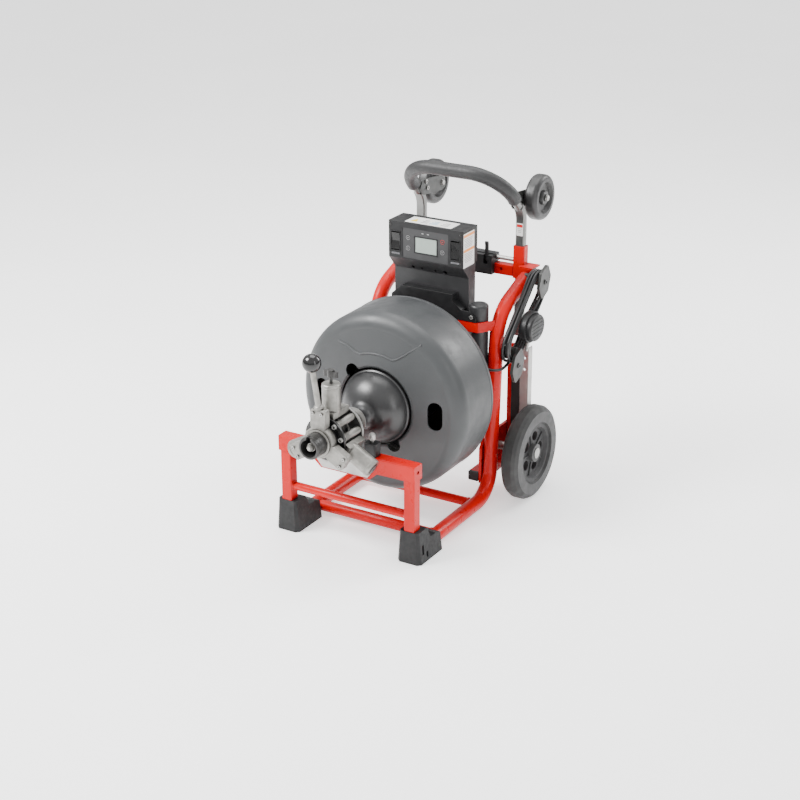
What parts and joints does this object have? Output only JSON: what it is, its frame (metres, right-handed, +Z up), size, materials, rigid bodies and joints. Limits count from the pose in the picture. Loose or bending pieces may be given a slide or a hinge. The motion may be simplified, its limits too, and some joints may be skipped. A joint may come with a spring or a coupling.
{
  "type": "drain snake machine",
  "caption": "Wheeled drum drain cleaning machine with a rotating cable drum, a roller feed head, a control box and a telescoping push handle.",
  "frame": {"origin": "on the ground under the middle of the machine's overall box", "axes": "+Z up, -Y towards the operator and the cable outlet, +X towards the side that carries the hose and pedal"},
  "size_m": [0.562, 0.936, 0.8724],
  "materials": {
    "red_paint": "gloss powder coat",
    "black_paint": "fine texture",
    "box_plastic": "fine grain",
    "black_plastic": "fine grain",
    "foot_rubber": "matt",
    "zinc_plate": "bright zinc",
    "motor_housing": "satin",
    "belt_rubber": "matt",
    "keypad_membrane": "satin film",
    "cast_metal": "cast",
    "hose_rubber": "satin",
    "drum_plastic": "fine grain",
    "cable_steel": "oiled wire",
    "cone_plastic": "gloss",
    "tyre_rubber": "matt",
    "handle_chrome": "polished",
    "grip_foam": "closed-cell foam",
    "switch_plastic": "gloss",
    "roller_steel": "ground"
  },
  "bodies": {
    "frame": {"side_tube_left": "red_paint", "side_tube_right": "red_paint", "cross_members": "red_paint", "motor_strap": "red_paint", "handle_sockets": "red_paint", "rear_brackets": "red_paint", "front_legs": "red_paint", "front_bridge": "red_paint", "control_neck": "black_paint", "black_plastic_trim": "black_plastic", "front_feet": "foot_rubber", "skid_rails": "zinc_plate", "axle": "zinc_plate", "drive_cover": "black_plastic", "gear_motor": "motor_housing", "drive_belt": "belt_rubber", "control_box": "box_plastic", "keypad_display": "keypad_membrane", "battery_dock": "black_plastic", "latch_housing": "black_plastic", "cord_hooks": "black_plastic", "feed_plate": "zinc_plate", "feed_cage": "cast_metal", "feed_housings": "cast_metal", "nose_sleeve": "zinc_plate", "guide_tube": "zinc_plate", "fasteners": "zinc_plate", "hose_gland": "zinc_plate", "hose_lead": "hose_rubber", "hose_coil": "hose_rubber", "pedal_base": "black_plastic"},
    "drum": {"drum_front_shell": "drum_plastic", "drum_rear_shell": "drum_plastic", "drum_pulley": "cast_metal", "drain_cable_turns": "cable_steel"},
    "inner_drum": {"inner_drum": "cone_plastic"},
    "drain_cable": {"drain_cable_end": "cable_steel"},
    "motor_pulley": {"motor_pulley": "cast_metal"},
    "wheel_left": {"wheel_left": "tyre_rubber"},
    "wheel_right": {"wheel_right": "tyre_rubber"},
    "handle": {"handle_tube": "handle_chrome", "foam_grip": "grip_foam", "load_wheel_brackets": "zinc_plate"},
    "load_wheel_left": {"load_wheel_left": "tyre_rubber"},
    "load_wheel_right": {"load_wheel_right": "tyre_rubber"},
    "latch_lever": {"latch_lever": "black_plastic"},
    "lock_pin_left": {"lock_pin_left": "zinc_plate"},
    "lock_pin_right": {"lock_pin_right": "zinc_plate"},
    "switch_left": {"switch_left": "switch_plastic"},
    "switch_right": {"switch_right": "switch_plastic"},
    "feed_lever": {"feed_lever": "cast_metal", "lever_knob": "black_plastic"},
    "tension_knob": {"tension_knob": "zinc_plate"},
    "roller_fork_top": {"roller_fork_top": "cast_metal"},
    "roller_fork_right": {"roller_fork_right": "cast_metal"},
    "roller_fork_left": {"roller_fork_left": "cast_metal"},
    "roller_top": {"roller_top": "roller_steel"},
    "roller_right": {"roller_right": "roller_steel"},
    "roller_left": {"roller_left": "roller_steel"},
    "pedal": {"pedal_plate": "black_plastic"}
  },
  "joints": [
    {"name": "drum_spin", "type": "hinge", "parent": "frame", "child": "drum", "pos_m": [0, 0, 0.33], "axis": [0, 1, 0], "continuous": true},
    {"name": "inner_drum_spin", "type": "hinge", "parent": "drum", "child": "inner_drum", "pos_m": [0, 0, 0.33], "axis": [0, 1, 0], "continuous": true},
    {"name": "cable_feed", "type": "slide", "parent": "drum", "child": "drain_cable", "axis": [0, -1, 0], "range_m": [0, 0.06]},
    {"name": "motor_pulley_spin", "type": "hinge", "parent": "frame", "child": "motor_pulley", "pos_m": [0.138, 0, 0.378], "axis": [0, 1, 0], "continuous": true},
    {"name": "wheel_left_spin", "type": "hinge", "parent": "frame", "child": "wheel_left", "pos_m": [-0.256, 0.193, 0.127], "axis": [1, 0, 0], "continuous": true},
    {"name": "wheel_right_spin", "type": "hinge", "parent": "frame", "child": "wheel_right", "pos_m": [0.256, 0.193, 0.127], "axis": [1, 0, 0], "continuous": true},
    {"name": "handle_slide", "type": "slide", "parent": "frame", "child": "handle", "axis": [0, 0, 1], "range_m": [0, 0.18]},
    {"name": "load_wheel_left_spin", "type": "hinge", "parent": "handle", "child": "load_wheel_left", "pos_m": [-0.161, 0.407, 0.758], "axis": [1, 0, 0], "continuous": true},
    {"name": "load_wheel_right_spin", "type": "hinge", "parent": "handle", "child": "load_wheel_right", "pos_m": [0.161, 0.407, 0.758], "axis": [1, 0, 0], "continuous": true},
    {"name": "latch_lever_tilt", "type": "hinge", "parent": "frame", "child": "latch_lever", "pos_m": [0.061, 0.305, 0.599], "axis": [1, 0, 0], "range_deg": [0, 25]},
    {"name": "lock_pin_left_slide", "type": "slide", "parent": "frame", "child": "lock_pin_left", "axis": [1, 0, 0], "range_m": [0, 0.01745]},
    {"name": "lock_pin_right_slide", "type": "slide", "parent": "frame", "child": "lock_pin_right", "axis": [-1, 0, 0], "range_m": [0, 0.01745]},
    {"name": "switch_left_rock", "type": "hinge", "parent": "frame", "child": "switch_left", "pos_m": [-0.0875, 0.0935, 0.686], "axis": [1, 0, 0], "range_deg": [-10, 10]},
    {"name": "switch_right_rock", "type": "hinge", "parent": "frame", "child": "switch_right", "pos_m": [0.0875, 0.0935, 0.686], "axis": [1, 0, 0], "range_deg": [-10, 10]},
    {"name": "feed_lever_swing", "type": "hinge", "parent": "frame", "child": "feed_lever", "pos_m": [0, -0.417, 0.33], "axis": [0, 1, 0], "range_deg": [-28, 28]},
    {"name": "tension_knob_turn", "type": "hinge", "parent": "frame", "child": "tension_knob", "pos_m": [0, -0.364, 0.44], "axis": [0, 0, 1], "continuous": true},
    {"name": "roller_fork_top_swivel", "type": "hinge", "parent": "frame", "child": "roller_fork_top", "pos_m": [0, -0.364, 0.33], "axis": [0, 0, 1], "range_deg": [-28, 28]},
    {"name": "roller_top_spin", "type": "hinge", "parent": "roller_fork_top", "child": "roller_top", "pos_m": [0, -0.364, 0.353], "axis": [0, 1, 0], "continuous": true},
    {"name": "roller_fork_right_swivel", "type": "hinge", "parent": "frame", "child": "roller_fork_right", "pos_m": [0, -0.364, 0.33], "axis": [0.866, 0, -0.5], "range_deg": [-28, 28]},
    {"name": "roller_right_spin", "type": "hinge", "parent": "roller_fork_right", "child": "roller_right", "pos_m": [0.01992, -0.364, 0.3185], "axis": [0, 1, 0], "continuous": true},
    {"name": "roller_fork_left_swivel", "type": "hinge", "parent": "frame", "child": "roller_fork_left", "pos_m": [0, -0.364, 0.33], "axis": [-0.866, 0, -0.5], "range_deg": [-28, 28]},
    {"name": "roller_left_spin", "type": "hinge", "parent": "roller_fork_left", "child": "roller_left", "pos_m": [-0.01992, -0.364, 0.3185], "axis": [0, 1, 0], "continuous": true},
    {"name": "pedal_press", "type": "slide", "parent": "frame", "child": "pedal", "axis": [-1, 0, 0], "range_m": [0, 0.004], "stiffness_N_per_m": 2500}
  ],
  "couplings": [
    {"joint": "motor_pulley_spin", "follows": "drum_spin", "ratio": 3.6364},
    {"joint": "latch_lever_tilt", "follows": "lock_pin_left_slide", "rad_per_m": 25},
    {"joint": "lock_pin_right_slide", "follows": "lock_pin_left_slide", "ratio": 1},
    {"joint": "roller_fork_top_swivel", "follows": "feed_lever_swing", "ratio": 1},
    {"joint": "roller_fork_right_swivel", "follows": "feed_lever_swing", "ratio": 1},
    {"joint": "roller_fork_left_swivel", "follows": "feed_lever_swing", "ratio": 1}
  ]
}
